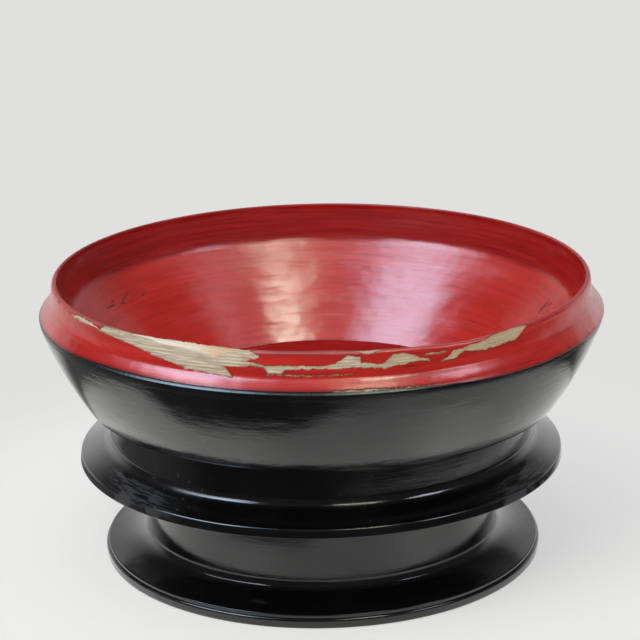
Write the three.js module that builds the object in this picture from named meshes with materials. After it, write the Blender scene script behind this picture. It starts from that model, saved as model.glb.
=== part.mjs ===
// Lower bowl of a footed lacquer offering vessel, built ring on ring as it is made:
// coiled and bent bamboo and turned wood, glued up and then lacquered.
// Millimetres, +Z up, origin at the centre of the face that the bowl stands on.
// Every ring is a closed section turned about Z. Sections are drawn as (radius, height).
import * as THREE from 'three';

// Fits
const joint = 0.3; // glue line between two pieces
const segments = 60; // flats round each ring

// Mouth
const rimRadius = 214.2; // outside of the lip's foot
const lipThickness = 4.3; // at its foot
const lipEdge = 1.9; // at its top, where its outer face has come in
const lipHeight = 4;
const lipRound = 0.8;
const collarHeight = 12.2;
const collarInset = 6.4; // how far the collar's inner face leans in on its way down
const collarFlare = 1.7; // collar's foot beyond the lip
const collarSweep = 4; // height over which the collar's foot sweeps out

// Shoulder, which a lid's rim would rest on
const shoulderReach = 10.5; // widest edge beyond the lip
const shoulderHeight = 16.5;
const ledgeEdgeDrop = 9.8; // from the shoulder's top down to the ledge's outer end
const ledgeEdgeInset = 1.4; // ledge's outer end inside the widest edge
const ledgeSwell = 0.5; // handle of the ledge above and outside a straight line
const widestDrop = 11.4; // shoulder's top to the widest edge
const shoulderTuck = 1.4; // the shoulder's lower edge inside the widest edge
const tuckHandle = 0.4; // handle of that tuck inside the widest edge
const slopeCornerRise = 3.5; // corner between collar and dish above the shoulder's foot
const cornerEaseUp = 4.6; // height over which that corner is rounded, above it
const cornerEaseDown = 3.2; // and below it

// Inner dish
const dishWall = 8.5; // level thickness of the sloping wall
const slopeRun = 69; // level width of the slope, from the collar's foot to the floor
const dishFootRise = 1; // upright foot of the slope, beside the floor's edge
const floorThickness = 5.5;
const floorRabbet = 11; // depth of the seat cut in the board for the floor
const floorSeat = 4.7; // width of that seat

// Outer wall
const wallHeight = 63.1;
const wallThickness = 7;
const wallTaper = 32.6; // wall's top radius less its bottom radius
const wallBulge = 4.9; // handle of the wall's curve beyond the straight line

// Underside board
const boardThickness = 15.5;
const bodyEdgeDrop = 1.7; // sharp lower edge of the body under the board's top
const bodyEdgeInset = 1.5; // and inside the wall's foot
const undercutLift = 0.8; // handle of the undercut below the sharp edge
const undercutDrop = 9.5; // board's top down to where the undercut turns into the neck

// Neck
const undercutDepth = 19; // neck inside the sharp edge
const neckHeight = 19.2;
const neckCoveRise = 11;
const neckCoveReach = 6.4;

// Flange
const flangeReach = 17.8; // top edge of the flange beyond the neck's foot
const flangeRise = 10.5;
const flangeSweep = 6.4; // level run of the slope's handle, which falls at 45 degrees
const flangeEdgeHeight = 6.7;
const flangeEdgeFlare = 1;
const flangeEdgeRound = 0.8;

// Foot
const drumSetIn = 28.4; // drum's face inside the neck's
const drumHeight = 55.9;
const drumWall = 12;
const tenonHeight = 7.8;
const tenonWall = 6.7;
const flareHeight = 16;
const flareReach = 34;
const flareLip = 2.6; // upright edge under the foot's cove
const flareWall = 24; // width of the flare's lower face
const hoopHeight = 7.7;
const hoopReach = 2; // standing hoop beyond the flare's edge
const hoopWidth = 27;
const hoopRound = 2.2;

// Heights, from the standing face up
const hoopTop = hoopHeight;
const flareBottom = hoopTop + joint;
const flareTop = flareBottom + flareHeight;
const drumBottom = flareTop + joint;
const drumTop = drumBottom + drumHeight;
const flangeBottom = drumTop + joint;
const flangeEdgeTop = flangeBottom + flangeEdgeHeight;
const flangeTop = flangeEdgeTop + flangeRise;
const neckBottom = flangeTop + joint;
const neckTop = neckBottom + neckHeight;
const boardBottom = neckTop + joint;
const boardTop = boardBottom + boardThickness;
const floorBottom = boardTop - floorRabbet + joint;
const floorTop = floorBottom + floorThickness;
const dishFoot = floorTop - dishFootRise;
const wallBottom = boardTop + joint;
const wallTop = wallBottom + wallHeight;
const shoulderBottom = wallTop + joint;
const shoulderTop = shoulderBottom + shoulderHeight;
const collarBottom = shoulderTop + joint;
const collarTop = collarBottom + collarHeight;
const lipBottom = collarTop + joint;
const lipTop = lipBottom + lipHeight;

// Radii, from the mouth down
const lipInside = rimRadius - lipThickness;
const widestRadius = rimRadius + shoulderReach;
const wallTopRadius = widestRadius - shoulderTuck;
const wallFootRadius = wallTopRadius - wallTaper;
const bodyEdgeRadius = wallFootRadius - bodyEdgeInset;
const neckRadius = bodyEdgeRadius - undercutDepth;
const neckFootRadius = neckRadius + neckCoveReach;
const flangeTopRadius = neckFootRadius + flangeReach;
const flangeRadius = flangeTopRadius + flangeEdgeFlare;
const collarFootRadius = rimRadius + collarFlare;
const cornerRadius = lipInside - collarInset;
const floorRadius = cornerRadius - slopeRun;
const boreRadius = floorRadius - floorSeat;
const drumRadius = neckRadius - drumSetIn;
const drumInside = drumRadius - drumWall;
const tenonRadius = drumInside + tenonWall;
const flareRadius = drumRadius + flareReach;
const hoopRadius = flareRadius + hoopReach;

// Materials
const red = 0x9c2a24;
const black = 0x16120f;

function lacquer(colour, roughness) {
  return new THREE.MeshStandardMaterial({ color: colour, roughness, metalness: 0 });
}

// Shapes
const at = (radius, height) => new THREE.Vector2(radius, height);

// Points of a curve pulled from a to b by one handle, without its first point
function bend(a, handle, b, steps) {
  return new THREE.QuadraticBezierCurve(a, handle, b).getPoints(steps).slice(1);
}

// A closed section turned once about Z, with its faces pointing out
function turned(name, section, material) {
  const outline = [...section, section[0].clone()];
  if (THREE.ShapeUtils.area(section) < 0) outline.reverse();
  const geometry = new THREE.LatheGeometry(outline, segments);
  geometry.rotateX(Math.PI / 2);
  const mesh = new THREE.Mesh(geometry, material);
  mesh.name = name;
  return mesh;
}

// Inside of the bowl: an upright leaning collar, then a straight slope to the floor
const cornerHeight = shoulderBottom + slopeCornerRise;

function collarInside(height) {
  return lipInside - (collarInset * (lipBottom - height)) / (lipBottom - cornerHeight);
}

function slopeInside(height) {
  const share = (height - floorTop) / (cornerHeight - floorTop);
  return floorRadius + (cornerRadius - floorRadius) * share;
}

function lipHoop() {
  const inner = lipInside;
  const foot = at(rimRadius, lipBottom);
  const edge = at(inner + lipEdge, lipTop);
  const section = [
    at(inner, lipBottom),
    foot,
    ...bend(foot, at(rimRadius - lipRound / 2, lipTop - lipRound), edge, 5),
    at(inner + lipRound, lipTop),
    ...bend(at(inner + lipRound, lipTop), at(inner, lipTop), at(inner, lipTop - lipRound), 3),
  ];
  return turned('lip_hoop', section, lacquer(red, 0.3));
}

// The band that a lid slides over, sweeping out a little to meet the ledge
function collarHoop() {
  const upper = at(rimRadius, collarTop);
  const lower = at(collarFootRadius, collarBottom);
  const handle = at(rimRadius + joint, collarBottom + collarSweep);
  const section = [
    at(collarInside(collarTop), collarTop),
    at(collarInside(collarBottom), collarBottom),
    lower,
    ...bend(lower, handle, upper, 6),
  ];
  return turned('collar_hoop', section, lacquer(red, 0.3));
}

function shoulderHoop() {
  const ledgeTop = at(collarFootRadius, shoulderTop);
  const ledgeEnd = at(widestRadius - ledgeEdgeInset, shoulderTop - ledgeEdgeDrop);
  const middle = at((ledgeTop.x + ledgeEnd.x) / 2, (ledgeTop.y + ledgeEnd.y) / 2);
  middle.addScalar(ledgeSwell);
  const widest = at(widestRadius, shoulderTop - widestDrop);
  const tuck = at(wallTopRadius, shoulderBottom);
  const cornerUp = at(collarInside(cornerHeight + cornerEaseUp), cornerHeight + cornerEaseUp);
  const cornerDown = at(slopeInside(cornerHeight - cornerEaseDown), cornerHeight - cornerEaseDown);
  const section = [
    at(collarInside(shoulderTop), shoulderTop),
    ledgeTop,
    ...bend(ledgeTop, middle, ledgeEnd, 4),
    ...bend(ledgeEnd, at(widestRadius, (ledgeEnd.y + widest.y) / 2), widest, 3),
    ...bend(widest, at(widestRadius - tuckHandle, (widest.y + tuck.y) / 2), tuck, 3),
    at(slopeInside(shoulderBottom), shoulderBottom),
    cornerDown,
    ...bend(cornerDown, at(cornerRadius, cornerHeight), cornerUp, 4),
  ];
  return turned('shoulder_hoop', section, lacquer(red, 0.32));
}

// The sloping wall, whose foot stands in the board beside the floor
function innerDish() {
  const section = [
    at(slopeInside(wallTop), wallTop),
    at(floorRadius, floorTop),
    at(floorRadius, dishFoot),
    at(slopeInside(dishFoot) + dishWall, dishFoot),
    at(slopeInside(wallTop) + dishWall, wallTop),
  ];
  return turned('inner_dish', section, lacquer(red, 0.28));
}

function floorDisc() {
  const edge = floorRadius - joint;
  const section = [at(0, floorBottom), at(edge, floorBottom), at(edge, floorTop), at(0, floorTop)];
  const geometry = new THREE.LatheGeometry(section, segments);
  geometry.rotateX(Math.PI / 2);
  const mesh = new THREE.Mesh(geometry, lacquer(red, 0.28));
  mesh.name = 'floor_disc';
  return mesh;
}

// Both faces of the outer wall follow one curve, the inner one moved in by the wall
function outerWall() {
  const face = (inset, steps) => {
    const top = at(wallTopRadius - inset, wallTop);
    const foot = at(wallFootRadius - inset, wallBottom);
    const handle = at((top.x + foot.x) / 2 + wallBulge, (top.y + foot.y) / 2);
    return [top, ...bend(top, handle, foot, steps)];
  };
  const section = [...face(0, 8), ...face(wallThickness, 5).reverse()];
  return turned('outer_wall', section, lacquer(black, 0.2));
}

// Closes the body from below, with seats for the floor and the dish's foot, and a coved undercut
function undersideBoard() {
  const edge = at(bodyEdgeRadius, boardTop - bodyEdgeDrop);
  const handle = at(neckRadius, edge.y - undercutLift);
  const seat = dishFoot - joint;
  const section = [
    at(boreRadius, boardBottom),
    at(boreRadius, boardTop - floorRabbet),
    at(floorRadius, boardTop - floorRabbet),
    at(floorRadius, seat),
    at(slopeInside(seat) + dishWall + 2 * joint, seat),
    at(slopeInside(boardTop) + dishWall + 2 * joint, boardTop),
    at(wallFootRadius, boardTop),
    edge,
    ...bend(edge, handle, at(neckRadius, boardTop - undercutDrop), 6),
    at(neckRadius, boardBottom),
  ];
  return turned('underside_board', section, lacquer(black, 0.24));
}

function neckRing() {
  const coveTop = at(neckRadius, neckBottom + neckCoveRise);
  const section = [
    at(drumInside, neckBottom),
    at(drumInside, neckTop),
    at(neckRadius, neckTop),
    coveTop,
    ...bend(coveTop, at(neckRadius, neckBottom + neckCoveReach), at(neckFootRadius, neckBottom), 5),
  ];
  return turned('neck_ring', section, lacquer(black, 0.24));
}

// Sloping shelf with a thin upright edge. Its bore takes the drum's tenon
// Carries the neck's cove on outwards, steep at first and then flatter
function flangeRing() {
  const inner = at(neckFootRadius, flangeTop);
  const outer = at(flangeTopRadius, flangeEdgeTop);
  const middle = at(inner.x + flangeSweep, inner.y - flangeSweep);
  const edgeTop = at(flangeTopRadius, flangeEdgeTop - flangeEdgeRound);
  const edgeFoot = at(flangeRadius, flangeBottom + flangeEdgeRound);
  const section = [
    at(tenonRadius + joint, flangeBottom),
    at(tenonRadius + joint, flangeTop),
    inner,
    ...bend(inner, middle, at(outer.x - flangeEdgeRound, outer.y), 4),
    edgeTop,
    edgeFoot,
    at(flangeRadius - flangeEdgeRound, flangeBottom),
  ];
  return turned('flange_ring', section, lacquer(black, 0.28));
}

function footDrum() {
  const section = [
    at(drumInside, drumBottom),
    at(drumInside, drumTop + tenonHeight),
    at(tenonRadius, drumTop + tenonHeight),
    at(tenonRadius, drumTop),
    at(drumRadius, drumTop),
    at(drumRadius, drumBottom),
  ];
  return turned('foot_drum', section, lacquer(black, 0.2));
}

function footFlare() {
  const coveTop = at(drumRadius, flareTop);
  const coveFoot = at(flareRadius, flareBottom + flareLip);
  const section = [
    at(drumInside, flareTop),
    coveTop,
    ...bend(coveTop, at(drumRadius, flareBottom + flareLip), coveFoot, 7),
    at(flareRadius, flareBottom),
    at(flareRadius - flareWall, flareBottom),
  ];
  return turned('foot_flare', section, lacquer(black, 0.24));
}

function footHoop() {
  const outer = hoopRadius;
  const shelf = at(outer - hoopRound, hoopTop);
  const side = at(outer, hoopTop - hoopRound);
  const heel = at(outer, hoopRound);
  const section = [
    at(outer - hoopWidth, 0),
    at(outer - hoopWidth, hoopTop),
    shelf,
    ...bend(shelf, at(outer, hoopTop), side, 3),
    heel,
    ...bend(heel, at(outer, 0), at(outer - hoopRound, 0), 3),
  ];
  return turned('foot_hoop', section, lacquer(black, 0.3));
}

const bowl = new THREE.Group();
bowl.add(lipHoop(), collarHoop(), shoulderHoop(), innerDish(), floorDisc(), outerWall());
bowl.add(undersideBoard(), neckRing(), flangeRing(), footDrum(), footFlare(), footHoop());

export default bowl;
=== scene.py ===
# %% [markdown]
# A footed offering bowl in lacquer
# The real bowl is a stack of rings. Split bamboo is bent and coiled, wood is turned, the rings are
# glued together, and many thin coats of lacquer hide the joints: black outside, red inside. This
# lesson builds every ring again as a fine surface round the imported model, and spends most of its
# care on the lacquer, on the broken edge of the shoulder, and on the light that shows both.

# %% Frame and tools
import math

import bpy
import numpy as np
from mathutils import Matrix, Vector


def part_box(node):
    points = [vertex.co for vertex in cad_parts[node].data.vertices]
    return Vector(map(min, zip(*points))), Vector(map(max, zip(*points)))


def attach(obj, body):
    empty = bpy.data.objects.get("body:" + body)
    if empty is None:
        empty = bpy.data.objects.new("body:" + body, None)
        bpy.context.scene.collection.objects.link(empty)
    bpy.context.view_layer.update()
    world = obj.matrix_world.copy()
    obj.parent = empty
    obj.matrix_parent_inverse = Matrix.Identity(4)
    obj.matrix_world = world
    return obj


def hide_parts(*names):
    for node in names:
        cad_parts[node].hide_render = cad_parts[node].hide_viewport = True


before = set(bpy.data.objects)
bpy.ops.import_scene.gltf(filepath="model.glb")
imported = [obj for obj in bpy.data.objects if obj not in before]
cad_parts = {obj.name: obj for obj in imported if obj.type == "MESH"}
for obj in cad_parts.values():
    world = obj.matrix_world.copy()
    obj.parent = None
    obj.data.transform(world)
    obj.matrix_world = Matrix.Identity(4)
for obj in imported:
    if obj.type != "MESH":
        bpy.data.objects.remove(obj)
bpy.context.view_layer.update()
MM = 0.001

# %% [markdown]
# The camera comes first. It stands in front of the bowl, above its mouth, with a long lens, and
# looks down by 17.4 degrees. It leans over by less than a degree, as a hand-held one does. Its place
# is given in mouth radii, because the ellipses of the mouth, shoulder and flange are what gave it.


# %% Camera
def camera(radius, rim, away, above, yaw, pitch, roll, lens):
    """A camera on the bowl's -Y side. Its three axes are columns: right, up and backwards."""
    level = math.cos(pitch)
    forward = Vector((math.sin(yaw) * level, math.cos(yaw) * level, -math.sin(pitch)))
    sideways = forward.cross(Vector((0, 0, 1))).normalized()
    upright = sideways.cross(forward)
    right = sideways * math.cos(roll) + upright * math.sin(roll)
    up = upright * math.cos(roll) - sideways * math.sin(roll)
    data = bpy.data.cameras.new("photo_camera")
    data.lens = lens
    data.sensor_width = 36
    made = bpy.data.objects.new("photo_camera", data)
    place = Vector((0, -away * radius, rim + above * radius))
    axes = Matrix((right, up, -forward)).transposed().to_4x4()
    made.matrix_world = Matrix.Translation(place) @ axes
    bpy.context.scene.collection.objects.link(made)
    bpy.context.scene.camera = made
    return made


photo_camera = camera(
    radius=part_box("lip_hoop")[1].x,
    rim=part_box("lip_hoop")[1].z,
    away=8.2137,
    above=2.3776,
    yaw=math.radians(-0.043),
    pitch=math.radians(17.39),
    roll=math.radians(-0.94),
    lens=129.4,
)
print("camera at", [round(v, 3) for v in photo_camera.matrix_world.translation])

# %% [markdown]
# Rings need one tool: a section, drawn as radius and height in millimetres, that is carried round
# the Z axis. A lathe or Spin operator could do it, but a numpy grid is quicker, and it lets every
# point know its angle and its place along the section, which the broken edge needs later. Corners
# are eased by a short curve, because a lacquered edge is never knife sharp.


# %% Sections
def bend(a, handle, b, steps):
    """Points of a quadratic curve: a, handle and b weighted by (1-t)^2, 2t(1-t) and t^2."""
    t = np.linspace(0, 1, steps + 1)[:, None]
    a, handle, b = (np.asarray(p, float) for p in (a, handle, b))
    return (1 - t) ** 2 * a + 2 * t * (1 - t) * handle + t**2 * b


def eased(corner, before, after, ease, steps=4):
    """A corner turned into a curve that starts ease mm before it and ends ease mm after it."""
    corner, before, after = (np.asarray(p, float) for p in (corner, before, after))
    back = (before - corner) / np.linalg.norm(before - corner)
    on = (after - corner) / np.linalg.norm(after - corner)
    return bend(corner + back * ease, corner, corner + on * ease, steps)


def joined(*parts):
    """Points and runs of points as one list of points."""
    return np.concatenate([np.atleast_2d(np.asarray(part, float)) for part in parts])


def between(a, b, spacing):
    """Points from a on to b, without b itself, no further apart than spacing."""
    count = max(1, math.ceil(np.linalg.norm(b - a) / spacing - 0.001))
    return a + (b - a) * np.arange(count)[:, None] / count


def filled(section, spacing):
    """The closed section with points added on each edge that is longer than spacing."""
    return joined(*[between(a, b, spacing) for a, b in zip(section, np.roll(section, -1, 0))])


def finer(line, spacing):
    """An open line with points added on each edge that is longer than spacing."""
    return joined(*[between(a, b, spacing) for a, b in zip(line, line[1:])], line[-1])


def anticlockwise(section):
    """The section in anticlockwise order, told by the sign of its shoelace area."""
    x, y = section.T
    area = np.sum(x * np.roll(y, -1) - np.roll(x, -1) * y)
    return section if area > 0 else section[::-1]


# %% [markdown]
# A handmade ring is never quite round. The same small waver, a few tenths of a millimetre, goes into
# every ring at the same height, so that the rings still lie flush and reflections bend a little.
# The lip has also sprung in at the front, where its hoop is broken, and the foot is glued on a
# little to the left. The mesh comes from arrays: a grid whose rows follow the section and whose
# columns go round.


# %% Rings
def top(node):
    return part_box(node)[1].z / MM


def foot(node):
    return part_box(node)[0].z / MM


def rise(value, low, high):
    """A smooth step from 0 at low to 1 at high: 3t^2 - 2t^3."""
    t = np.clip((value - low) / (high - low), 0, 1)
    return t * t * (3 - 2 * t)


def waver(angle, height):
    """Radius lost at an angle and height, in mm: four slow waves, kept between 0 and 0.5."""
    wave = 0.35 * np.sin(2 * angle + 0.7) + 0.25 * np.sin(3 * angle + height / 60)
    wave = wave + 0.2 * np.sin(5 * angle - height / 35 + 1.9) + 0.08 * np.sin(9 * angle + height / 18)
    return 0.25 + 0.25 * wave / 0.88


def bell(angle, centre, width):
    """A bell of height 1 round the bowl: e to the minus square of the turn from centre, in widths.
    centre and width are in degrees."""
    turn = (np.degrees(angle) + 180) % 360 - 180
    return np.exp(-(((turn - centre) / width) ** 2))


spring_start = foot("collar_hoop") + 2
spring_left = 6.0
spring_middle = 3.6
dip = 1.8
offset_start = 131
offset_fall = 33
foot_offset = 2.0


def sprung(angle, height):
    """Radius lost by the lip where its hoop has sprung in at the front, in mm: two bells round the
    bowl, growing from nothing at the foot of the collar to all of it at the lip's top."""
    level = rise(height, spring_start, top("lip_hoop") + 1)
    return level * (spring_left * bell(angle, -27, 13) + spring_middle * bell(angle, 1, 12))


def sunk(angle, height):
    """Height lost by the lip where the rim dips, to the right of the front, in mm."""
    return rise(height, spring_start, top("lip_hoop")) * dip * bell(angle, 30, 11)


def shifted(height):
    """How far a ring sits off the axis along X, in mm: nothing in the body, all of it in the foot."""
    return -foot_offset * rise(offset_start - height, 0, offset_fall)


def solid(name, points, faces, attributes):
    """A mesh object at the origin. Faces are arrays of three or four point numbers per row."""
    mesh = bpy.data.meshes.new(name)
    corners = np.concatenate([f.ravel() for f in faces])
    sizes = np.concatenate([np.full(len(f), f.shape[1]) for f in faces])
    starts = np.concatenate([[0], np.cumsum(sizes)[:-1]])
    mesh.vertices.add(len(points))
    mesh.vertices.foreach_set("co", points.astype(np.float32).ravel())
    mesh.loops.add(len(corners))
    mesh.loops.foreach_set("vertex_index", corners.astype(np.int32))
    mesh.polygons.add(len(starts))
    mesh.polygons.foreach_set("loop_start", starts.astype(np.int32))
    mesh.update(calc_edges=True)
    for label, values in attributes.items():
        attribute = mesh.attributes.new(label, "FLOAT", "POINT")
        attribute.data.foreach_set("value", values.astype(np.float32).ravel())
    mesh.polygons.foreach_set("use_smooth", np.ones(len(mesh.polygons), bool))
    mesh.set_sharp_from_angle(angle=math.radians(38))
    made = bpy.data.objects.new(name, mesh)
    bpy.context.scene.collection.objects.link(made)
    return made


def ring(name, section, angles, shape=None):
    """A closed section carried round Z: a point is (r sin a, -r cos a, height), so that angle 0 is
    the front and grows towards +X. shape(section, angles) gives how far, in mm, each point sinks,
    the directions in which they sink, and the attributes of the points."""
    section = anticlockwise(section)
    angle, radius = np.meshgrid(angles, section[:, 0])
    height = np.broadcast_to(section[:, 1:], radius.shape)
    attributes = {}
    if shape is not None:
        depth, normal, attributes = shape(section, angles)
        radius = radius - depth * normal[:, :1]
        height = height - depth * normal[:, 1:]
    radius = radius - waver(angle, height) - sprung(angle, height)
    height = height - sunk(angle, height)
    across = radius * np.sin(angle) + shifted(height)
    points = np.stack([across, -radius * np.cos(angle), height], -1) * MM
    index = np.arange(radius.size).reshape(radius.shape)
    above, beside = np.roll(index, -1, 0), np.roll(index, -1, 1)
    quads = np.stack([index, beside, np.roll(above, -1, 1), above], -1).reshape(-1, 4)
    return solid(name, points.reshape(-1, 3), [quads], attributes)


def disc(name, section, angles):
    """A section from the axis out and back to the axis: its first and last points are poles."""
    angle, radius = np.meshgrid(angles, section[1:-1, 0])
    height = np.broadcast_to(section[1:-1, 1:], radius.shape)
    radius = radius - waver(angle, height) * radius / radius.max()
    points = np.stack([radius * np.sin(angle), -radius * np.cos(angle), height], -1).reshape(-1, 3)
    poles = [[0, 0, section[0, 1]], [0, 0, section[-1, 1]]]
    index = np.arange(radius.size).reshape(radius.shape)
    beside = np.roll(index, -1, 1)
    quads = np.stack([index[:-1], beside[:-1], beside[1:], index[1:]], -1).reshape(-1, 4)
    low = np.stack([np.full(len(angles), radius.size), beside[0], index[0]], 1)
    high = np.stack([np.full(len(angles), radius.size + 1), index[-1], beside[-1]], 1)
    return solid(name, np.concatenate([points, poles]) * MM, [quads, low, high], {})


# %% [markdown]
# Sizes come from the frame where it can be measured: each ring's height, and the radii of the mouth,
# the shoulder, the flange and the foot. Rings that touch meet here in the middle of the glue line.
# Sizes that a box can't show, such as walls and the handles of curves, are named once.


# %% Sizes
def reach(node):
    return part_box(node)[1].x / MM


def seam(upper, lower):
    return (foot(upper) + top(lower)) / 2


glue_line = 0.3
rim = reach("lip_hoop")
rim_top = top("lip_hoop")
widest = reach("shoulder_hoop")
flange_reach = reach("flange_ring")
flare_reach = reach("foot_flare")
hoop_reach = reach("foot_hoop")
floor_top = top("floor_disc")

lip_seam = seam("lip_hoop", "collar_hoop")
collar_seam = seam("collar_hoop", "shoulder_hoop")
shoulder_seam = seam("shoulder_hoop", "outer_wall")
board_seam = seam("outer_wall", "underside_board")
neck_seam = seam("underside_board", "neck_ring")
flange_seam = seam("neck_ring", "flange_ring")
drum_seam = foot("flange_ring") - glue_line / 2
flare_seam = seam("foot_drum", "foot_flare")
hoop_seam = seam("foot_flare", "foot_hoop")

lip_wall = 4.3
lip_edge = 1.9
lip_ease = 0.8
collar_lean = 6.4
collar_foot = rim + 1.7
collar_sweep = 4
collar_swell = 0.3
ledge_end = np.array([widest - 1.4, top("shoulder_hoop") - 9.8])
ledge_swell = 0.5
widest_height = top("shoulder_hoop") - 11.4
shoulder_tuck = 1.4
corner_rise = 3.5
corner_ease = 4.8
slope_run = 69
slope_wall = 8.5
shell_wall = 7
wall_taper = 32.6
wall_bulge = 4.9
body_edge_drop = 1.7
body_edge_inset = 1.5
undercut = 19
undercut_drop = 9.5
undercut_lift = 0.8
floor_seat = 4.7
cove_rise = 5.5
cove_turn = 2.4
cove_reach = 2.0
flange_rise = 10.5
flange_flare = 1
drum_set_in = 28.4
drum_wall = 12
tenon_wall = 6.7
flare_edge = 2.6
flare_width = 24
hoop_width = 27

corner_radius = rim - lip_wall - collar_lean
corner_height = foot("shoulder_hoop") + corner_rise
floor_radius = corner_radius - slope_run
dish_foot = foot("inner_dish")
wall_top = widest - shoulder_tuck
wall_foot = wall_top - wall_taper
body_edge = wall_foot - body_edge_inset
undercut_foot = top("underside_board") - undercut_drop
neck = body_edge - undercut
neck_foot = neck + cove_reach
drum = neck - drum_set_in
drum_inside = drum - drum_wall
bore = floor_radius - floor_seat


def collar_inside(height):
    """Inner radius of the upright band, leaning in steadily from the lip to the corner."""
    return corner_radius + collar_lean * (height - corner_height) / (lip_seam - corner_height)


def slope_inside(height):
    """Inner radius of the dish, a straight line from the corner down to the floor."""
    return floor_radius + slope_run * (height - floor_top) / (corner_height - floor_top)


print("mouth", round(rim, 1), "widest", round(widest, 1), "neck", round(neck, 1))

# %% [markdown]
# The broken edge. Knocks have split flakes of lacquer off the front of the shoulder, down to the
# bamboo. A flake is drawn as a strip: at a few angles it has an upper and a lower edge, measured in
# millimetres down the outside from the lip's top corner. Negative values lie on top of the lip. The
# edges are made ragged by seeded noise, and the strip sinks the surface, so that the break is real
# geometry with a step round it. The same field drives the colour.

# %% Flakes
FLAKES = [
    dict(angle=[-71.2, -70.6, -69.3], upper=[3.1, 2.1, 2.9], lower=[3.2, 3.6, 3.2]),
    dict(angle=[-66.3, -65.5, -64.3], upper=[3.5, 2.3, 3.0], lower=[3.7, 4.3, 3.3]),
    dict(angle=[-63.0, -57.1, -53.1, -49.8], upper=[3.8, 0.6, 2.3, 4.9], lower=[4.2, 5.0, 4.1, 5.8]),
    dict(
        angle=[-50.7, -49.4, -44.5, -38.0, -31.5, -26.4, -22.4, -19.0, -15.2, -12.4],
        upper=[5.3, 0.5, -1.9, -1.9, -1.9, -1.9, -1.9, -1.9, -1.8, 3.8],
        lower=[6.0, 5.8, 6.6, 10.3, 14.0, 17.1, 16.9, 12.8, 8.2, 5.4],
    ),
    dict(
        angle=[-27.4, -22.6, -19.2, -17.3],
        upper=[14.9, 12.2, 12.7, 19.2],
        lower=[17.2, 18.4, 19.4, 20.0],
    ),
    dict(
        angle=[-19.9, -13.4, -11.2, -7.8, -4.2, -0.4, 3.0, 7.1, 12.2],
        upper=[10.2, 8.5, 10.7, 10.0, 9.8, 10.1, 8.7, 9.0, 10.2],
        lower=[13.0, 11.0, 12.3, 12.8, 12.2, 12.3, 12.6, 11.6, 14.1],
    ),
    dict(
        angle=[-11.2, -10.2, -7.8, -7.0],
        upper=[11.4, 11.4, 11.4, 12.0],
        lower=[12.4, 16.0, 15.8, 12.9],
    ),
    dict(angle=[2.7, 4.8, 7.3], upper=[7.9, 3.8, 5.1], lower=[10.2, 11.1, 9.5]),
    dict(
        angle=[2.8, 6.0, 7.6, 9.2, 10.9, 12.6],
        upper=[-1.9, -1.9, -1.9, -1.9, -1.9, -1.8],
        lower=[-1.4, -0.2, 1.4, 3.3, 1.2, -0.8],
    ),
    dict(
        angle=[11.7, 13.8, 15.5, 17.5, 19.1, 20.9],
        upper=[9.8, 3.8, 3.7, 5.3, 8.0, 10.0],
        lower=[14.6, 13.1, 12.1, 10.8, 10.8, 12.1],
    ),
    dict(angle=[20.2, 24.6], upper=[5.9, 4.7], lower=[7.3, 6.6]),
    dict(angle=[23.2, 25.4, 26.2, 28.9], upper=[12.9, 9.2, 5.1, 5.3], lower=[13.9, 13.2, 12.6, 7.7]),
    dict(
        angle=[28.5, 32.0, 34.3, 36.4, 41.0, 45.0],
        upper=[4.6, 2.8, 1.1, -1.9, -1.9, 1.0],
        lower=[8.0, 10.6, 10.3, 10.1, 9.6, 1.6],
    ),
    dict(
        angle=[-10.5, -6.0, -2.0, 3.0, 5.5],
        upper=[16.0, 16.1, 16.3, 16.1, 16.3],
        lower=[16.8, 17.0, 17.1, 17.0, 16.6],
    ),
    dict(angle=[1.8, 4.4, 7.8], upper=[28.5, 28.0, 28.7], lower=[29.1, 29.6, 29.2]),
    dict(angle=[7.2, 9.6, 12.9, 16.0], upper=[28.4, 27.9, 28.2, 29.0], lower=[29.2, 29.5, 29.7, 29.5]),
    dict(angle=[15.0, 18.0, 21.5], upper=[28.9, 28.9, 29.4], lower=[29.5, 29.7, 29.8]),
]
FRESH = dict(
    angle=[-41.0, -32.8, -27.9, -24.4, -21.5, -18.8, -14.8],
    upper=[-1.9, -1.9, -1.9, -1.9, -1.9, -1.9, -1.9],
    lower=[0.4, 4.3, 5.0, 6.2, 7.4, 3.0, -1.2],
)
flake_depth = 0.9
bed_reach = 2.6
fibre_depth = 0.25
chance = np.random.default_rng(11)


def ragged(angle, grain, size):
    """Steady noise round the bowl: seeded values every grain degrees, joined by straight lines."""
    stations = np.arange(-180, 180 + grain, grain)
    return np.interp(angle, stations, chance.uniform(-size, size, len(stations)))


def strip(angle, path, upper_noise, lower_noise, flake):
    """How far inside a flake a point lies, in mm: the least of its distances to the two edges
    and, along the arc, to the two ends."""
    per_degree = math.radians(rim)
    upper = np.interp(angle, flake["angle"], flake["upper"]) + upper_noise
    lower = np.interp(angle, flake["angle"], flake["lower"]) + lower_noise
    ends = np.minimum(angle - flake["angle"][0], flake["angle"][-1] - angle) * per_degree
    return np.minimum(np.minimum(path - upper, lower - path), ends + 0.3)


fine_low, fine_high = -78, 49
fine = np.radians(np.arange(fine_low, fine_high, 0.14))
coarse = np.radians(np.linspace(fine_high, 360 + fine_low, 190, endpoint=False))
front_angles = np.concatenate([fine, coarse])
degrees = np.degrees((front_angles + math.pi) % (2 * math.pi) - math.pi)
edge_noise = [ragged(degrees, 1.1, 0.55) + ragged(degrees, 0.4, 0.35) for _ in range(2)]
fresh_noise = ragged(degrees, 1.6, 0.5)


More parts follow.
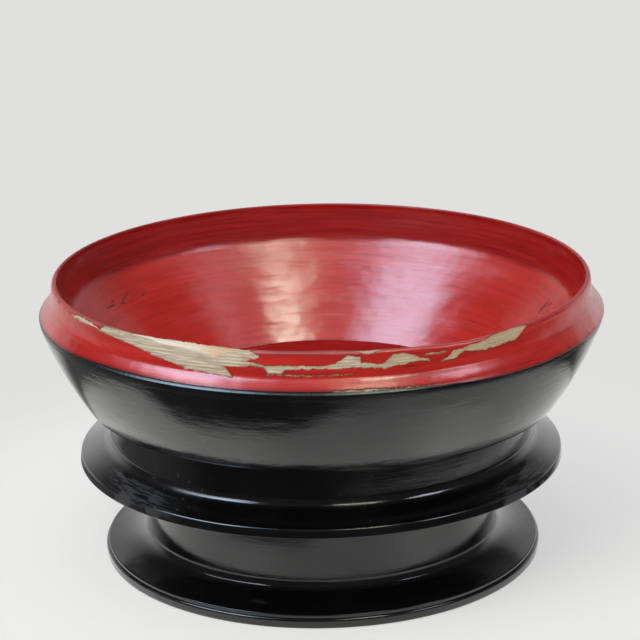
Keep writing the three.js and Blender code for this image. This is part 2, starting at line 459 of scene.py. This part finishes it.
def outside_path(section):
    """For points of a mouth ring's section: the distance down the outside from the lip's edge,
    the direction that faces out there, and how far the point is from that outside line, in mm."""
    steps = np.diff(outer_line, axis=0)
    length = np.concatenate([[0], np.cumsum(np.linalg.norm(steps, axis=1))])
    even = np.linspace(0, length[-1], 3000)
    line = np.stack([np.interp(even, length, outer_line[:, i]) for i in (0, 1)], 1)
    gap = np.linalg.norm(section[:, None] - line[None], axis=2)
    near = gap.argmin(1)
    along = np.gradient(line, axis=0)
    facing = np.stack([-along[:, 1], along[:, 0]], 1)
    facing = facing / np.linalg.norm(facing, axis=1, keepdims=True)
    return even[near] - lip_edge, facing[near], gap.min(1)


def broken(section, angles):
    """Depth, directions and attributes of the broken edge: the union of all flakes as a smooth step,
    with fibres combed into its bed. Points behind the bed move less, down to none at bed_reach."""
    path, facing, gap = outside_path(section)
    path, gap = path[:, None], gap[:, None]
    inside = np.full((len(section), len(angles)), -9.0)
    for flake in FLAKES:
        inside = np.maximum(inside, strip(degrees, path, edge_noise[0], edge_noise[1], flake))
    fresh = rise(strip(degrees, path, fresh_noise, fresh_noise, FRESH), -0.4, 0.6)
    bare = rise(inside, -0.15, 0.35) * (gap < bed_reach)
    bed = flake_depth + fibre_depth * np.sin(path * 2.9 + fresh_noise * 2) * rise(inside, 0.3, 1.2)
    depth = bed * rise(inside, -0.2, 0.5) * np.clip(1 - gap / bed_reach, 0, 1)
    return depth, facing, {"bare": bare, "fresh": fresh * bare, "worn": rise(inside, -1.6, 0)}


# %% [markdown]
# The three rings of the mouth share one outer line: the lip, whose face comes in to a thin edge, the
# upright collar that sweeps out at its foot, and the ledge that a lid would sit on, which slopes
# down to the rounded widest edge. Inside, a soft corner leads from the collar to the dish. The
# outside gets a point every half millimetre, so that the breaks keep their ragged edges, and the
# inside and the hidden seams get fewer.

# %% Mouth rings
break_spacing = 0.5
hidden_spacing = 3.4
ledge_hollow_handle = [0.4, -1.13]
ledge_hollow_reach = [1.22, -2.01]
tuck_handle = 0.4
lip_inner = rim - lip_wall
lip_foot = np.array([rim, lip_seam])
lip_handle = [rim - lip_ease / 2, rim_top - lip_ease]
lip_face = bend([lip_inner + lip_edge, rim_top], lip_handle, lip_foot, 14)
ledge_start = np.array([collar_foot, collar_seam])
collar_handle = [rim + collar_swell, collar_seam + collar_sweep]
collar_curve = bend(lip_foot, collar_handle, ledge_start, 24)
ledge_hollow = bend(
    ledge_start,
    ledge_start + ledge_hollow_handle,
    ledge_start + ledge_hollow_reach,
    6,
)
ledge_middle = (ledge_hollow[-1] + ledge_end) / 2
ledge = joined(ledge_hollow, bend(ledge_hollow[-1], ledge_middle + ledge_swell, ledge_end, 16)[1:])
edge = bend(ledge_end, [widest, (ledge_end[1] + widest_height) / 2], [widest, widest_height], 8)
tuck_middle = [widest - tuck_handle, (widest_height + shoulder_seam) / 2]
tuck = bend([widest, widest_height], tuck_middle, [wall_top, shoulder_seam], 8)
outer_line = joined([lip_inner, rim_top], lip_face, collar_curve[1:], ledge[1:], edge[1:], tuck[1:])

lip_section = joined(
    [lip_inner, lip_seam],
    lip_face[::-1],
    eased([lip_inner, rim_top], [rim, rim_top], [lip_inner, lip_seam], lip_ease),
)
collar_section = joined(
    [collar_inside(lip_seam), lip_seam],
    [collar_inside(collar_seam), collar_seam],
    finer(collar_curve[::-1], break_spacing),
)
shoulder_section = joined(
    [collar_inside(collar_seam), collar_seam],
    finer(joined(ledge, edge[1:], tuck[1:]), break_spacing),
    [slope_inside(shoulder_seam), shoulder_seam],
    eased(
        [corner_radius, corner_height],
        [slope_inside(shoulder_seam), shoulder_seam],
        [collar_inside(collar_seam), collar_seam],
        corner_ease,
        12,
    ),
)
lip = ring("lip", filled(lip_section, break_spacing), front_angles, broken)
collar = ring("collar", filled(collar_section, hidden_spacing), front_angles, broken)
shoulder = ring("shoulder", filled(shoulder_section, hidden_spacing), front_angles, broken)
for piece in (lip, collar, shoulder):
    print(piece.name, len(piece.data.polygons), "faces")

# %% [markdown]
# The dish is a sloping wall and a flat floor. Its rings are plain, because the interest is in how
# satin lacquer spreads the lamps over them. The outer wall is a separate shell, convex and thin.

# %% Dish and body
round_angles = np.arange(720) * (2 * math.pi / 720)
floor_ease = 0.5
floor_gap = 0.1
body_edge_ease = 0.7
slope_top = [slope_inside(shoulder_seam), shoulder_seam]
slope_section = joined(
    slope_top,
    eased([floor_radius, floor_top], slope_top, [floor_radius, dish_foot], floor_ease),
    [floor_radius, dish_foot],
    [slope_inside(dish_foot) + slope_wall, dish_foot],
    [slope_inside(shoulder_seam) + slope_wall, shoulder_seam],
)
floor_foot = foot("floor_disc")
floor_edge = floor_radius - floor_gap


def flat(start, end, count, height):
    """Points of a level line from one radius to another."""
    return np.stack([np.linspace(start, end, count), np.full(count, height)], 1)


floor_section = joined(
    [0, floor_foot],
    flat(12, floor_edge, 10, floor_foot),
    flat(floor_edge, 3, 60, floor_top),
    [0, floor_top],
)


def wall_face(inset, steps):
    """The outer wall's curve moved in by inset: from its top to its foot, bulging by one handle."""
    upper = np.array([wall_top - inset, shoulder_seam])
    lower = np.array([wall_foot - inset, board_seam])
    return bend(upper, (upper + lower) / 2 + [wall_bulge, 0], lower, steps)


wall_section = joined(wall_face(0, 60), wall_face(shell_wall, 16)[::-1])
edge_point = np.array([body_edge, top("underside_board") - body_edge_drop])
undercut_curve = bend(edge_point, [neck, edge_point[1] - undercut_lift], [neck, undercut_foot], 24)
board_section = joined(
    [bore, neck_seam],
    [bore, floor_foot],
    [floor_radius, floor_foot],
    [floor_radius, dish_foot],
    [slope_inside(dish_foot) + slope_wall, dish_foot],
    [slope_inside(board_seam) + slope_wall, board_seam],
    [wall_foot, board_seam],
    eased(edge_point, [wall_foot, board_seam], undercut_curve[3], body_edge_ease),
    undercut_curve[3:],
    [neck, neck_seam],
)
dish_slope = ring("dish_slope", filled(slope_section, 1.6), round_angles)
dish_floor = disc("dish_floor", floor_section, round_angles)
outer_wall = ring("body_wall", filled(wall_section, 1.6), round_angles)
underside = ring("body_underside", filled(board_section, 1.5), round_angles)

# %% [markdown]
# Below the body come the neck, the flange with a thin upright edge, and the foot. Where the neck
# meets the flange the lacquer turns in a tight cove and goes on as a small hollow. The two gather
# the light to a thin line. Handles and reaches are steps along the section, out and up. The foot
# is lower than the photograph reaches, so it follows what such vessels have: a straight drum,
# a spreading cove and a standing hoop.

# %% Neck, flange and foot
hollow_handle = [1.86, -2.23]
hollow_reach = [4.56, -3.27]
slope_handle = [8.4, -3.22]
flange_ease = 1.1
flange_foot_ease = 1.0
flare_ease = 0.8
hoop_ease = 2.2

cove_top = [neck, foot("neck_ring") + cove_rise]
cove_corner = [neck, flange_seam + cove_turn]
flange_edge = [flange_reach - flange_flare, top("flange_ring") - flange_rise]
neck_section = joined(
    [drum_inside, flange_seam],
    [drum_inside, neck_seam],
    [neck, neck_seam],
    bend(cove_top, cove_corner, [neck_foot, flange_seam], 12),
)
hollow_start = np.array([neck_foot, flange_seam])
hollow_end = hollow_start + hollow_reach
flange_slope = joined(
    bend(hollow_start, hollow_start + hollow_handle, hollow_end, 12),
    bend(hollow_end, hollow_end + slope_handle, flange_edge, 20)[1:],
)
tenon = drum_inside + tenon_wall
flange_section = joined(
    [tenon, drum_seam],
    [tenon, flange_seam],
    flange_slope[:-1],
    eased(flange_edge, flange_slope[-3], [flange_reach, drum_seam], flange_ease),
    eased([flange_reach, drum_seam], flange_edge, [tenon, drum_seam], flange_foot_ease),
)
tenon_top = top("foot_drum")
drum_section = joined(
    [drum_inside, flare_seam],
    [drum_inside, tenon_top],
    [tenon - glue_line, tenon_top],
    [tenon - glue_line, drum_seam],
    [drum, drum_seam],
    [drum, flare_seam],
)
flare_top = foot("foot_flare") + flare_edge
flare_curve = bend([drum, flare_seam], [drum, flare_top], [flare_reach, flare_top], 28)
flare_section = joined(
    [drum_inside, flare_seam],
    flare_curve[:-1],
    eased(flare_curve[-1], flare_curve[-2], [flare_reach, hoop_seam], flare_ease),
    [flare_reach, hoop_seam],
    [flare_reach - flare_width, hoop_seam],
)
hoop_inside = hoop_reach - hoop_width
hoop_section = joined(
    [hoop_inside, 0],
    [hoop_inside, hoop_seam],
    eased([hoop_reach, hoop_seam], [hoop_inside, hoop_seam], [hoop_reach, 0], hoop_ease),
    eased([hoop_reach, 0], [hoop_reach, hoop_seam], [hoop_inside, 0], hoop_ease),
)
neck_ring = ring("neck", filled(neck_section, 1.6), round_angles)
flange = ring("flange", filled(flange_section, 1.4), round_angles)
foot_drum = ring("foot_drum_skin", filled(drum_section, 2), round_angles)
foot_flare = ring("foot_flare_skin", filled(flare_section, 1.6), round_angles)
foot_hoop = ring("foot_hoop_skin", filled(hoop_section, 1.4), round_angles)
print("lowest ring stands at", round(min(v.co.z for v in foot_hoop.data.vertices), 5), "m")

# %% [markdown]
# Shader sums are easier to read as sums. A Wire holds one output socket, and arithmetic on it adds
# Math nodes. A Graph holds the nodes of a material or of the world: its add method makes any node
# from a type, its settings and its inputs. A Finish is the Graph of one material, and knows the
# places that its patterns are built from.


# %% Shader arithmetic
class Wire:
    """An output socket of a graph, with arithmetic that adds Math nodes."""

    def __init__(self, graph, socket):
        self.graph, self.socket = graph, socket

    def __add__(self, other):
        return self.graph.maths("ADD", self, other)

    def __sub__(self, other):
        return self.graph.maths("SUBTRACT", self, other)

    def __rsub__(self, other):
        return self.graph.maths("SUBTRACT", other, self)

    def __mul__(self, other):
        return self.graph.maths("MULTIPLY", self, other)

    def __truediv__(self, other):
        return self.graph.maths("DIVIDE", self, other)

    __radd__ = __add__
    __rmul__ = __mul__

    def most(self, other):
        return self.graph.maths("MAXIMUM", self, other)

    def rise(self, low, high):
        """A smooth step from 0 at low to 1 at high."""
        inputs = {"Value": self, "From Min": low, "From Max": high}
        return self.graph.add("ShaderNodeMapRange", {"interpolation_type": "SMOOTHSTEP"}, inputs)


class Graph:
    """The nodes of a material or of the world, made one by one."""

    def __init__(self, tree):
        self.nodes, self.links = tree.nodes, tree.links

    def add(self, kind, settings, inputs, output=0):
        """A node of a type, with its settings first and then the values or wires of its inputs."""
        node = self.nodes.new(kind)
        for label, value in settings.items():
            setattr(node, label, value)
        for label, value in inputs.items():
            if isinstance(value, Wire):
                self.links.new(value.socket, node.inputs[label])
            else:
                node.inputs[label].default_value = value
        return Wire(self, node.outputs[output])

    def maths(self, operation, *values):
        return self.add("ShaderNodeMath", {"operation": operation}, dict(enumerate(values)))

    def mix(self, factor, a, b):
        return self.add("ShaderNodeMix", {"data_type": "RGBA"}, {0: factor, 6: a, 7: b}, 2)

    def vector(self, x, y, z):
        return self.add("ShaderNodeCombineXYZ", {}, {0: x, 1: y, 2: z})

    def parts(self, vector):
        """The X, Y and Z of a vector as three wires."""
        outputs = self.add("ShaderNodeSeparateXYZ", {}, {0: vector}).socket.node.outputs
        return [Wire(self, outputs[i]) for i in range(3)]


class Finish(Graph):
    """A material with one Principled shader, and the wires that its pattern is built from."""

    def __init__(self, name, **constants):
        self.material = bpy.data.materials.new(name)
        self.material.use_nodes = True
        super().__init__(self.material.node_tree)
        self.shader = self.nodes["Principled BSDF"]
        for label, value in constants.items():
            self.shader.inputs[label.replace("_", " ")].default_value = value
        self.place = self.add("ShaderNodeTexCoord", {}, {}, "Object")
        self.x, self.y, self.z = self.parts(self.place)
        self.radius = self.maths("POWER", self.x * self.x + self.y * self.y, 0.5)

    def feed(self, label, wire):
        self.links.new(wire.socket, self.shader.inputs[label])

    def noise(self, vector, scale, detail=3, roughness=0.55):
        inputs = {"Vector": vector, "Scale": scale, "Detail": detail, "Roughness": roughness}
        return self.add("ShaderNodeTexNoise", {}, inputs)

    def around(self, along, level):
        """Coordinates for marks that run round the bowl: along is how many pass in a turn, and level
        tells one from the next across the ring. The direction from the axis stands for the angle,
        so there is no seam behind the bowl."""
        return self.vector(self.x / self.radius * along, self.y / self.radius * along, level)

    def brushed(self, along, across, detail, roughness):
        """Noise drawn out round the bowl, with across as its fineness down the surface."""
        level = (self.radius * 0.6 + self.z) * across
        return self.noise(self.around(along, level), 1.0, detail, roughness)

    def mark(self, angle, height, half_angle, half_height, slant=0.0, rough=0.8):
        """1 inside one small ragged mark and 0 outside: its angle in degrees and height in mm, half
        its length and height, and how many mm it climbs in a degree."""
        turn = self.maths("ARCTAN2", self.x, self.y * -1) * math.degrees(1) - angle
        climb = (self.z / MM - height - turn * slant) * (1 / half_height)
        ragged = self.noise(self.place, 420, 3, 0.6) * rough - rough / 2
        return 1 - (turn * turn * half_angle**-2 + climb * climb + ragged).rise(0.55, 1.0)

    def attribute(self, label):
        return self.add("ShaderNodeAttribute", {"attribute_name": label}, {}, "Fac")

    def bump(self, height, distance):
        return self.add("ShaderNodeBump", {}, {"Distance": distance, "Height": height})


def shade(red, green, blue):
    """A colour given from 0 to 255 as on a screen, made linear for the shader."""
    values = [c / 255 for c in (red, green, blue)]
    return [v / 12.92 if v <= 0.04045 else ((v + 0.055) / 1.055) ** 2.4 for v in values] + [1.0]


# %% [markdown]
# The red is cinnabar lacquer, put on with a broad brush round and round. So its marks run with the
# rings: bands of slightly different red, dark threads where the black ground shows through, and a
# satin gloss that is streaked the same way. The slope and the outside get a lighter red, which is
# painted light for the light that falls on them more than on the floor and the collar's inside. The
# far left of the inside is darkened by painted shade, and has more dark threads of wear. The larger
# scratches are marks of their own, each put where it is on the real bowl: angle, height, half length,
# half width and slant.


# %% Red lacquer
SCRATCHES = [
    (-110.5, 182.6, 2.8, 0.55, 0.2),
    (-112.6, 184.4, 1.2, 0.4, -0.5),
    (-118.2, 183.2, 2.7, 0.5, -0.82),
    (-116.0, 180.4, 1.0, 0.45, 0.3),
    (-125.0, 180.3, 1.5, 0.45, -0.8),
    (103.3, 182.7, 0.45, 6.5, 0.0),
    (101.5, 186.5, 0.4, 1.6, 0.0),
    (-145.0, 216.0, 0.25, 0.7, 0.0),
    (134.5, 204.5, 0.3, 1.0, 0.0),
]


def scratched(finish):
    """1 in a scratch and 0 outside all of them."""
    marks = [finish.mark(*scratch) for scratch in SCRATCHES]
    cut = marks[0]
    for mark in marks[1:]:
        cut = cut.most(mark)
    return cut


def red_places(finish):
    """Masks of the whole inside, of its slope, its collar and its left end, where shade is painted."""
    inside = 1 - finish.radius.rise((rim - 4) * MM, (rim - 2) * MM)
    below_collar = 1 - finish.z.rise((corner_height - 4) * MM, (corner_height + 2) * MM)
    above_floor = finish.radius.rise((floor_radius - 0.5) * MM, (floor_radius + 1.5) * MM)
    at_left = (finish.x * -1).rise(0.145, 0.195)
    return inside, above_floor * below_collar * inside, inside * (1 - below_collar), inside * at_left


def red_lacquer(finish):
    """Colour, roughness and height of the red coat."""
    bands = finish.brushed(2.2, 260, 4, 0.6)
    threads = finish.brushed(5, 1500, 2, 0.5)
    swells = finish.brushed(3.4, 75, 2, 0.5)
    hairs = finish.brushed(14, 700, 2, 0.5)
    flecks = finish.brushed(38, 420, 2, 0.5).rise(0.70, 0.76)
    clouds = finish.noise(finish.place, 9, 4, 0.6)
    patches = finish.noise(finish.place, 26, 3, 0.6)
    dents = finish.noise(finish.place, 32, 2, 0.5)
    grain = finish.noise(finish.place, 900, 2, 0.5)
    cut = scratched(finish)
    inside, on_slope, in_collar, at_left = red_places(finish)
    lip_top = finish.z.rise((rim_top - 1.6) * MM, (rim_top - 0.8) * MM)

    base = finish.mix(bands.rise(0.36, 0.66), shade(168, 20, 18), shade(198, 32, 28))
    base = finish.mix(clouds.rise(0.35, 0.72) * 0.5, base, shade(186, 24, 22))
    # Painted light: a lighter red on the slope and, at half strength, on the outside, where more light
    # falls than on the floor and the collar's inside.
    painted_lit_red = finish.mix(bands.rise(0.3, 0.66), shade(210, 34, 18), shade(230, 44, 26))
    base = finish.mix(on_slope + (1 - inside) * 0.55, base, painted_lit_red)
    # Painted shade: the far left of the inside is darkened, where its wall faces away from the soft box.
    base = finish.mix(at_left * 0.3, base, shade(120, 14, 12))
    more = in_collar * 0.03 + at_left * 0.06 - on_slope * 0.05
    rubbed = (threads + more).rise(0.60, 0.70) * (patches + more).rise(0.48, 0.66)
    base = finish.mix(rubbed * (0.85 - in_collar * 0.35), base, shade(52, 14, 14))
    base = finish.mix(flecks * 0.7, base, shade(70, 20, 18))
    base = finish.mix(cut * 0.85, base, shade(38, 12, 12))
    # The lip's top is paler towards the back: partly wear, and partly a painted highlight along the far
    # rim.
    lip_wear_and_highlight = lip_top * finish.y.rise(-0.08, 0.05) * clouds.rise(0.40, 0.55)
    base = finish.mix(lip_wear_and_highlight * 0.55, base, shade(214, 112, 98))

    rough = 0.12 + bands * 0.08 + threads * 0.05 + clouds * 0.07 + swells.rise(0.45, 0.7) * 0.06
    rough = rough + on_slope * finish.radius.rise(0.165, 0.2) * 0.07 + at_left * 0.08
    rough = rough + cut * 0.3 + lip_top * 0.25
    strokes = (threads * 0.25 + bands * 0.5 + hairs * 0.3 + swells * 4) * finish.radius.rise(0.002, 0.03)
    return base, rough, strokes + dents * 9 + grain * 0.3 - cut * 4


def finished(name, coat, depth):
    """A whole material of one coat, with depth as the metres that its height stands for."""
    finish = Finish(name, IOR=1.52)
    base, rough, height = coat(finish)
    finish.feed("Base Color", base)
    finish.feed("Roughness", rough)
    finish.feed("Normal", finish.bump(height, depth))
    return finish.material


red_dish = finished("red_lacquer_dish", red_lacquer, 0.00010)
print(red_dish.name, len(red_dish.node_tree.nodes), "nodes")

# %% [markdown]
# The black coat is deeper and smoother than the red, with a little dust. The flange is rubbed grey in
# streaks to the left and right of the front, and the body has one dull patch at the left. The brush
# has left longer ridges on the body's wall than on the turned rings below.


# %% Black lacquer
def worn_flange(finish):
    """1 in the rubbed streaks of the flange and 0 outside them."""
    start = (neck_foot + 5) * MM
    on_flange = finish.radius.rise(start, start + 0.003)
    on_flange = on_flange * (1 - finish.z.rise((flange_seam - 4) * MM, flange_seam * MM))
    aside = finish.maths("ABSOLUTE", finish.x - 0.006)
    streaks = finish.noise(finish.around(9, finish.radius * 520), 1.0, 4, 0.65)
    return on_flange * aside.rise(0.11, 0.14) * (1 - aside.rise(0.16, 0.18)) * streaks.rise(0.42, 0.58)


def black_lacquer(finish):
    """Colour, roughness and height of the black coat."""
    bands = finish.brushed(3, 180, 3, 0.55)
    threads = finish.brushed(7, 1200, 2, 0.5)
    ridges = finish.brushed(8, 90, 4, 0.6)
    clouds = finish.noise(finish.place, 14, 5, 0.62)
    dust = finish.noise(finish.place, 210, 2, 0.5).rise(0.66, 0.74) * clouds.rise(0.5, 0.7)
    worn = worn_flange(finish)
    haze = finish.mark(-50.0, 172.0, 9.0, 22.0, 0.6, 1.6) * 0.7
    on_wall = finish.z.rise(board_seam * MM, (board_seam + 8) * MM)

    base = finish.mix(clouds.rise(0.4, 0.75), shade(12, 11, 11), shade(19, 19, 20))
    base = finish.mix(dust * 0.5, base, shade(96, 90, 82))
    base = finish.mix(worn * 0.7, base, shade(66, 67, 72))
    rough = 0.07 + clouds.rise(0.42, 0.8) * 0.16 + bands * 0.05 + threads * 0.03
    rough = rough + worn * 0.22 + haze * 0.16
    return base, rough, bands + threads * 0.35 + clouds * 0.5 + ridges * (0.8 + on_wall * 3.2)


black_body = finished("black_lacquer_body", black_lacquer, 0.00008)
print(black_body.name, len(black_body.node_tree.nodes), "nodes")

# %% [markdown]
# Where flakes are lost, bamboo shows. Its fibres run round the bowl too, pale cream where the break
# is fresh and grey-beige where it is old and dusty. A thin dark line of ground coat frames each
# break. The shoulder changes from red to black just above its widest edge, along a line drawn by
# hand, and the red wears thin towards it.


# %% Broken edge finish
paint_line = (ledge_end[1] + 1.0) * MM


def bamboo(finish, fresh):
    """Colour, roughness and height of bare bamboo."""
    fibres = finish.brushed(9, 1900, 3, 0.6)
    stains = finish.brushed(16, 300, 4, 0.6)
    dust = finish.brushed(11, 650, 3, 0.6)
    old = finish.mix(fibres.rise(0.3, 0.62), shade(180, 160, 130), shade(228, 211, 180))
    old = finish.mix(dust.rise(0.5, 0.7) * 0.5, old, shade(158, 134, 110))
    old = finish.mix((finish.x / finish.radius).rise(0.1, 0.4) * 0.5, old, shade(222, 200, 146))
    old = finish.mix(stains.rise(0.56, 0.72) * 0.7, old, shade(196, 128, 92))
    new = finish.mix(fibres.rise(0.25, 0.7), shade(255, 240, 212), shade(255, 250, 236))
    orange = (finish.x / finish.radius + stains * 0.2).rise(-0.42, -0.24) * 0.75
    new = finish.mix(orange, new, shade(238, 186, 128))
    return finish.mix(fresh, old, new), 0.62 + fibres * 0.2, fibres


def paint(finish):
    """Masks of the thin red just above the paint line and of the black below it. The line wanders
    by half a millimetre and sags at the right and at the far left."""
    side = finish.x / finish.radius
    wander = finish.brushed(5, 0, 4, 0.6) * 0.0010 - 0.0005
    sag = side.rise(0.1, 0.65) * 0.0031 + (side * -1).rise(0.65, 0.92) * 0.0015
    level = finish.z + sag + wander - paint_line
    outer_face = finish.radius.rise((rim - 2) * MM, rim * MM)
    return outer_face * (1 - level.rise(0.0, 0.0028)), outer_face * (1 - level.rise(-0.00016, 0.00016))


def broken_edge(name, painted_black):
    """Red lacquer that is broken to bamboo, with black below the paint line if it has one."""
    finish = Finish(name, IOR=1.52)
    base, rough, height = red_lacquer(finish)
    if painted_black:
        dark, dark_rough, dark_height = black_lacquer(finish)
        thin, black = paint(finish)
        base = finish.mix(thin * 0.65, base, shade(84, 20, 24))
        base = finish.mix(black, base, dark)
        rough = rough + black * (dark_rough + 0.14 - rough)
        height = height + black * (dark_height - height)
    bare, fresh, worn = (finish.attribute(label) for label in ("bare", "fresh", "worn"))
    wood, wood_rough, wood_height = bamboo(finish, fresh)
    base = finish.mix(worn * (1 - bare) * 0.25, base, shade(96, 24, 20))
    base = finish.mix(bare, base, wood)
    rough = rough + bare * (wood_rough - rough)
    finish.feed("Base Color", base)
    finish.feed("Roughness", rough)
    finish.feed("Normal", finish.bump(height + bare * (wood_height * 2 - height), 0.00012))
    return finish.material


red_edge = broken_edge("red_lacquer_broken", painted_black=False)
two_tone_edge = broken_edge("red_and_black_shoulder", painted_black=True)
finishes = {
    "lip": red_edge,
    "collar": red_edge,
    "shoulder": two_tone_edge,
    "dish_slope": red_dish,
    "dish_floor": red_dish,
}
print(len(finishes), "pieces are red and", len(set(finishes.values())), "red finishes are made")

# %% [markdown]
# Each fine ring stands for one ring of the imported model, and takes its place in the table.

# %% Pieces and nodes
STANDS_FOR = {
    lip: "lip_hoop",
    collar: "collar_hoop",
    shoulder: "shoulder_hoop",
    dish_slope: "inner_dish",
    dish_floor: "floor_disc",
    outer_wall: "outer_wall",
    underside: "underside_board",
    neck_ring: "neck_ring",
    flange: "flange_ring",
    foot_drum: "foot_drum",
    foot_flare: "foot_flare",
    foot_hoop: "foot_hoop",
}
for piece, node in STANDS_FOR.items():
    piece.data.materials.append(finishes.get(piece.name, black_body))
    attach(piece, "root")
    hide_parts(node)
print(len(STANDS_FOR), "pieces dressed")

# %% [markdown]
# The light. A studio shapes gloss and shade apart, and so do these lamps. One big soft box in front
# and to the left lights the lacquer evenly and is hidden from its gloss. The others are seen in
# gloss only. A broad cool one at the left and a small one overhead make the two bright fields in
# the dish, and a narrow cool one at the right a third. The three low ones reach in under the body
# to the neck's cove and the flange. The last is a faint ceiling.

# %% Lamps
gloss_distance = 1.9


def lamp(name, direction, distance, width, depth, brightness, colour, gloss=True):
    """A soft lamp aimed at the bowl. Its power is brightness times pi times its area. It is seen
    either by gloss alone or by everything else."""
    data = bpy.data.lights.new(name, "AREA")
    data.shape = "RECTANGLE"
    data.size, data.size_y = width, depth
    data.energy = brightness * math.pi * width * depth
    data.color = colour
    made = bpy.data.objects.new(name, data)
    aim = Vector((0, 0, rim_top * MM * 0.8))
    made.location = aim + Vector(direction).normalized() * distance
    made.rotation_euler = (made.location - aim).to_track_quat("Z", "Y").to_euler()
    made.visible_glossy = gloss
    made.visible_diffuse = not gloss
    bpy.context.scene.collection.objects.link(made)
    return made


lamp("soft_box", (-0.45, -0.55, 0.70), 2.2, 1.4, 1.4, 2.2, (1.0, 0.985, 0.96), gloss=False)
lamp("cool_left", (-0.52, -0.14, 0.86), gloss_distance, 1.10, 0.85, 14.5, (0.47, 0.76, 1.0))
lamp("pale_overhead", (0.25, -0.29, 0.92), gloss_distance, 0.36, 0.50, 25.0, (0.74, 0.94, 0.76))
lamp("cool_right", (0.50, 0.05, 0.86), gloss_distance, 0.12, 0.45, 8.0, (0.74, 0.84, 1.0))
lamp("low_left", (-0.67, -0.31, 0.66), gloss_distance, 1.30, 0.42, 8.0, (0.82, 0.84, 1.0))
lamp("low_warm", (0.25, -0.60, 0.76), gloss_distance, 0.60, 0.26, 11.0, (1.0, 0.96, 0.76))
lamp("low_right", (0.66, -0.28, 0.70), gloss_distance, 0.48, 0.46, 10.0, (0.80, 0.82, 1.0))
lamp("ceiling", (0.0, -0.35, 0.94), 2.1, 0.90, 1.00, 0.8, (1.0, 0.95, 0.90))
print(len(bpy.data.lights), "lamps")

# %% [markdown]
# The room is one pale grey for the camera, and a plain light for matt surfaces. Gloss sees more: a
# bright backdrop low behind the bowl, in a room that is dim elsewhere. The world can do both,
# because Light Path tells its shader what kind of ray is asking.


# %% World
def room():
    """The world's graph: backdrop is 1 where a direction looks ahead and low, by two smooth steps."""
    world = bpy.data.worlds.new("room")
    bpy.context.scene.world = world
    world.use_nodes = True
    sky = Graph(world.node_tree)
    ahead, up = sky.parts(sky.add("ShaderNodeTexCoord", {}, {}, "Generated"))[1:]
    backdrop = ahead.rise(0.42, 0.76) * up.rise(0.55, 0.25)
    gloss = sky.mix(backdrop, (0.13, 0.13, 0.14, 1), (1.22, 1.22, 1.24, 1))
    is_gloss = sky.add("ShaderNodeLightPath", {}, {}, "Is Glossy Ray")
    is_camera = sky.add("ShaderNodeLightPath", {}, {}, "Is Camera Ray")
    lit = sky.mix(is_gloss, (0.42, 0.425, 0.44, 1), gloss)
    seen = sky.mix(is_camera, lit, shade(225, 226, 228))
    background = sky.nodes["Background"].inputs
    background["Strength"].default_value = 1.0
    sky.links.new(seen.socket, background["Color"])
    return world


print("world:", len(room().node_tree.nodes), "nodes")

# %% [markdown]
# The floor is a pale disc. Gloss sees it as a table that is bright as far as a hand's breadth from
# the foot. Its edge comes nearer at the front left, and lies further off at the far left. Beyond
# it the floor is pale again at the right and behind the bowl. That is why the black wall is grey
# low down, black along its top, and pale at its two sides.


# %% Floor
def table_light(finish):
    """How bright gloss sees the floor: the brightest of the table, what is pale behind, what is
    pale at the right, and a dim rest. across and ahead are the direction from the axis."""
    across, ahead = finish.x / finish.radius, finish.y / finish.radius
    corner = (across * -0.47 + ahead * -0.88).rise(0.80, 0.97)
    far_left = (across * -1).rise(0.80, 0.98)
    edge = finish.radius + corner * 0.05 - far_left * 0.045
    behind = (finish.y + finish.x * 0.4).rise(-0.12, 0.06)
    middle = (across * 0.1 + ahead * -0.995).rise(0.80, 0.98)
    table = (1 - edge.rise(0.295, 0.345)) * (1.38 - behind * 0.55 - middle * 0.28)
    at_right = across.rise(0.0, 0.45) * (1 - finish.radius.rise(0.37, 0.41)) * 0.95
    rest = (across * -1).rise(0.80, 1.0) * 0.16 + 0.06
    return table.most(finish.y.rise(0.12, 0.32) * 0.85).most(at_right).most(rest)


def pale_floor(radius, near, far):
    """A round floor: matt and lit out to near, fading to the room's own grey from there to far."""
    count = 96
    angle = np.arange(count) * 2 * math.pi / count
    points = np.stack([radius * np.cos(angle), radius * np.sin(angle), np.zeros(count)], 1)
    mesh = bpy.data.meshes.new("pale_floor")
    mesh.from_pydata(points.tolist(), [], [list(range(count))])
    made = bpy.data.objects.new("pale_floor", mesh)
    bpy.context.scene.collection.objects.link(made)
    finish = Finish("pale_floor", Roughness=0.9, Specular_IOR_Level=0.1)
    finish.shader.inputs["Base Color"].default_value = shade(232, 231, 228)

    def glow(colour, strength):
        return finish.add("ShaderNodeEmission", {}, {"Color": colour, "Strength": strength})

    def blend(factor, a, b):
        return finish.add("ShaderNodeMixShader", {}, {0: factor, 1: a, 2: b})

    matt = Wire(finish, finish.shader.outputs[0])
    lifted = finish.add("ShaderNodeAddShader", {}, {0: matt, 1: glow((1, 1, 0.99, 1), 0.44)})
    seen = blend(finish.radius.rise(near, far), lifted, glow(shade(224, 224, 223), 1.0))
    light = table_light(finish)
    gloss = glow(finish.vector(light, light, light * 0.98), 1.0)
    is_gloss = finish.add("ShaderNodeLightPath", {}, {}, "Is Glossy Ray")
    output = finish.nodes["Material Output"].inputs["Surface"]
    finish.links.new(blend(is_gloss, seen, gloss).socket, output)
    mesh.materials.append(finish.material)
    return made


floor = pale_floor(radius=12, near=0.22, far=0.5)
bpy.context.scene.view_settings.view_transform = "Standard"
print("floor:", len(floor.data.materials[0].node_tree.nodes), "nodes")
